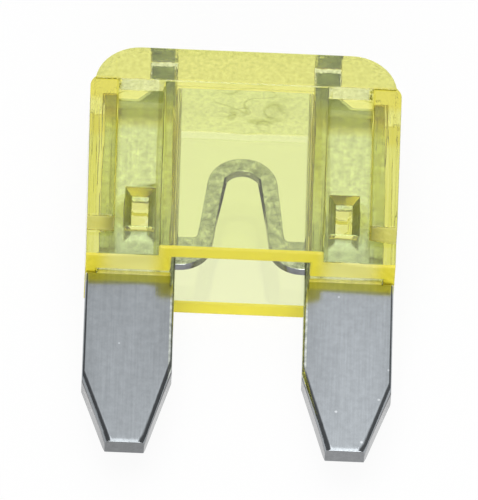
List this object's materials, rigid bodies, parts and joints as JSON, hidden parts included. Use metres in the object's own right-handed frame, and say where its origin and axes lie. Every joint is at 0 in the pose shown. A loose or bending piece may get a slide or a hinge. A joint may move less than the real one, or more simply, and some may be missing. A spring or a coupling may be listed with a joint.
{
  "type": "automotive blade fuse",
  "caption": "Small automotive blade fuse: a translucent moulded housing with pockets and ribs, around a stamped element of flat blades joined by an arched fuse link.",
  "frame": {"origin": "centre of the bounding box at the level of the back of the head, on which the fuse lies", "axes": "+X across the width, +Y from the blade tips to the head, +Z out of the front face"},
  "size_m": [0.011, 0.016, 0.0039],
  "materials": {
    "housing_polycarbonate": "translucent yellow polycarbonate, moulded, glossy",
    "zinc_strip": "rolled zinc alloy, satin grey, with a fine grain along the blades"
  },
  "bodies": {
    "root": {"housing": "housing_polycarbonate", "element": "zinc_strip"}
  },
  "joints": []
}
